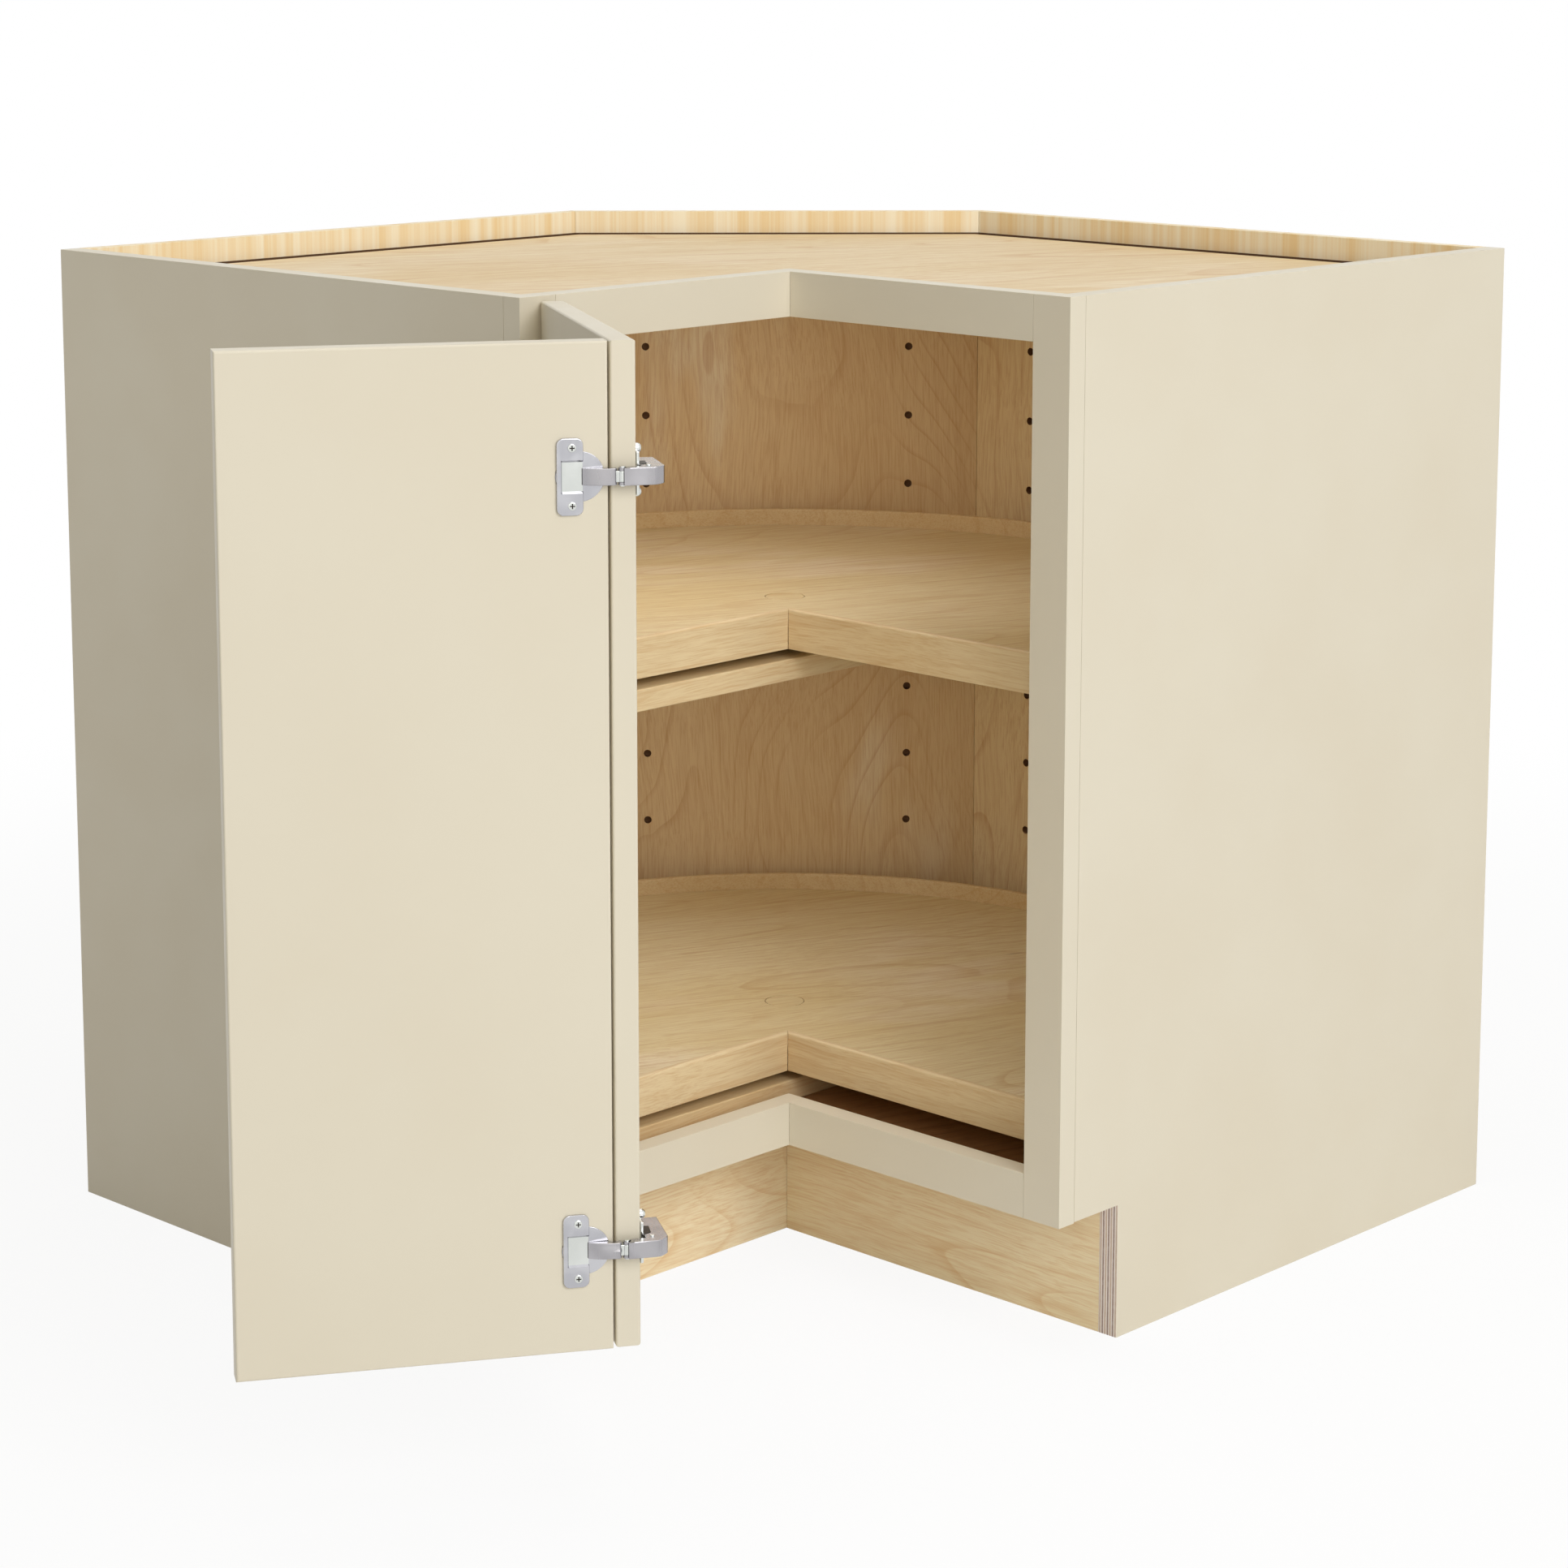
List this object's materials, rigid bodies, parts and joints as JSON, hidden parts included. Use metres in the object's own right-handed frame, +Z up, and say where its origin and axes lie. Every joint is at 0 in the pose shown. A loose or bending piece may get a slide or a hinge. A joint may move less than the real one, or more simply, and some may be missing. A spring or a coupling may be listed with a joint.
{
  "type": "corner carousel cabinet",
  "caption": "Corner base cabinet with a notched L-shaped front, pie-cut turning trays inside and a folding pair of slab doors hung from the left stile.",
  "frame": {"origin": "on the floor, under the corner where the two toe boards meet", "axes": "+X along the right arm towards the right wall, +Y along the left arm towards the left wall, +Z up"},
  "size_m": [1.2807, 0.9144, 0.8763],
  "materials": {
    "cream_paint": "cream satin paint on wood",
    "birch": "clear-coated birch plywood",
    "toe_birch": "bare birch plywood",
    "nickel": "nickel-plated steel"
  },
  "bodies": {
    "cabinet": {"left_end_panel": "cream_paint", "right_end_panel": "cream_paint", "left_back_panel": "birch", "corner_back_panel": "birch", "right_back_panel": "birch", "bottom_panel": "birch", "top_panel": "birch", "left_stile": "cream_paint", "right_stile": "cream_paint", "bottom_rail_left": "cream_paint", "bottom_rail_right": "cream_paint", "top_rail_left": "cream_paint", "top_rail_right": "cream_paint", "toe_board_left": "toe_birch", "toe_board_right": "toe_birch", "upper_support_board": "birch", "lower_support_board": "birch", "left_cleat": "birch", "right_cleat": "birch", "upper_bearing_base": "nickel", "lower_bearing_base": "nickel", "upper_frame_plate": "nickel", "upper_frame_arm": "nickel", "lower_frame_plate": "nickel", "lower_frame_arm": "nickel"},
    "first_door": {"first_door": "cream_paint", "upper_fold_arm": "nickel", "upper_fold_pin": "nickel", "upper_fold_plate": "nickel", "upper_frame_cup": "nickel", "lower_fold_arm": "nickel", "lower_fold_pin": "nickel", "lower_fold_plate": "nickel", "lower_frame_cup": "nickel"},
    "second_door": {"second_door": "cream_paint", "upper_fold_cup": "nickel", "upper_fold_screw_top": "nickel", "upper_fold_screw_low": "nickel", "lower_fold_cup": "nickel", "lower_fold_screw_top": "nickel", "lower_fold_screw_low": "nickel"},
    "upper_tray": {"upper_tray_floor": "birch", "upper_tray_band": "birch", "upper_tray_front_left": "birch", "upper_tray_front_right": "birch", "upper_tray_plug": "birch", "upper_bearing_top": "nickel"},
    "lower_tray": {"lower_tray_floor": "birch", "lower_tray_band": "birch", "lower_tray_front_left": "birch", "lower_tray_front_right": "birch", "lower_tray_plug": "birch", "lower_bearing_top": "nickel"},
    "upper_ball_cage": {"upper_ball_cage": "nickel"},
    "lower_ball_cage": {"lower_ball_cage": "nickel"},
    "upper_frame_catch": {"upper_frame_catch": "nickel"},
    "lower_frame_catch": {"lower_frame_catch": "nickel"},
    "upper_frame_link": {"upper_frame_link": "nickel"},
    "lower_frame_link": {"lower_frame_link": "nickel"}
  },
  "joints": [
    {"name": "door_swing", "type": "hinge", "parent": "cabinet", "child": "first_door", "pos_m": [-0.36383, -0.09692, 0.495], "axis": [0, 0, -1], "range_deg": [-122.3, 42.7]},
    {"name": "door_fold", "type": "hinge", "parent": "first_door", "child": "second_door", "pos_m": [-0.51634, -0.33331, 0.495], "axis": [0, 0, 1], "range_deg": [0, 65]},
    {"name": "upper_tray_turn", "type": "hinge", "parent": "cabinet", "child": "upper_tray", "pos_m": [0.06667, 0.06667, 0.5412], "axis": [0, 0, 1], "range_deg": [-360, 360]},
    {"name": "lower_tray_turn", "type": "hinge", "parent": "cabinet", "child": "lower_tray", "pos_m": [0.06667, 0.06667, 0.1612], "axis": [0, 0, 1], "range_deg": [-360, 360]},
    {"name": "upper_cage_turn", "type": "hinge", "parent": "cabinet", "child": "upper_ball_cage", "pos_m": [0.06667, 0.06667, 0.537], "axis": [0, 0, 1], "range_deg": [-180, 180]},
    {"name": "lower_cage_turn", "type": "hinge", "parent": "cabinet", "child": "lower_ball_cage", "pos_m": [0.06667, 0.06667, 0.157], "axis": [0, 0, 1], "range_deg": [-180, 180]},
    {"name": "upper_frame_catch_press", "type": "hinge", "parent": "cabinet", "child": "upper_frame_catch", "pos_m": [-0.34403, -0.05013, 0.7749], "axis": [0, 0, 1], "range_deg": [0, 12], "stiffness_Nm_per_rad": 0.05, "springref_deg": -5.73},
    {"name": "lower_frame_catch_press", "type": "hinge", "parent": "cabinet", "child": "lower_frame_catch", "pos_m": [-0.34403, -0.05013, 0.1967], "axis": [0, 0, 1], "range_deg": [0, 12], "stiffness_Nm_per_rad": 0.05, "springref_deg": -5.73},
    {"name": "upper_link_turn", "type": "hinge", "parent": "cabinet", "child": "upper_frame_link", "pos_m": [-0.34442, -0.08242, 0.7749], "axis": [0, 0, -1], "range_deg": [-62, 22]},
    {"name": "lower_link_turn", "type": "hinge", "parent": "cabinet", "child": "lower_frame_link", "pos_m": [-0.34442, -0.08242, 0.1967], "axis": [0, 0, -1], "range_deg": [-62, 22]}
  ],
  "couplings": [
    {"joint": "upper_cage_turn", "follows": "upper_tray_turn", "ratio": 0.5},
    {"joint": "lower_cage_turn", "follows": "lower_tray_turn", "ratio": 0.5},
    {"joint": "upper_link_turn", "follows": "door_swing", "ratio": 0.5},
    {"joint": "lower_link_turn", "follows": "door_swing", "ratio": 0.5}
  ]
}
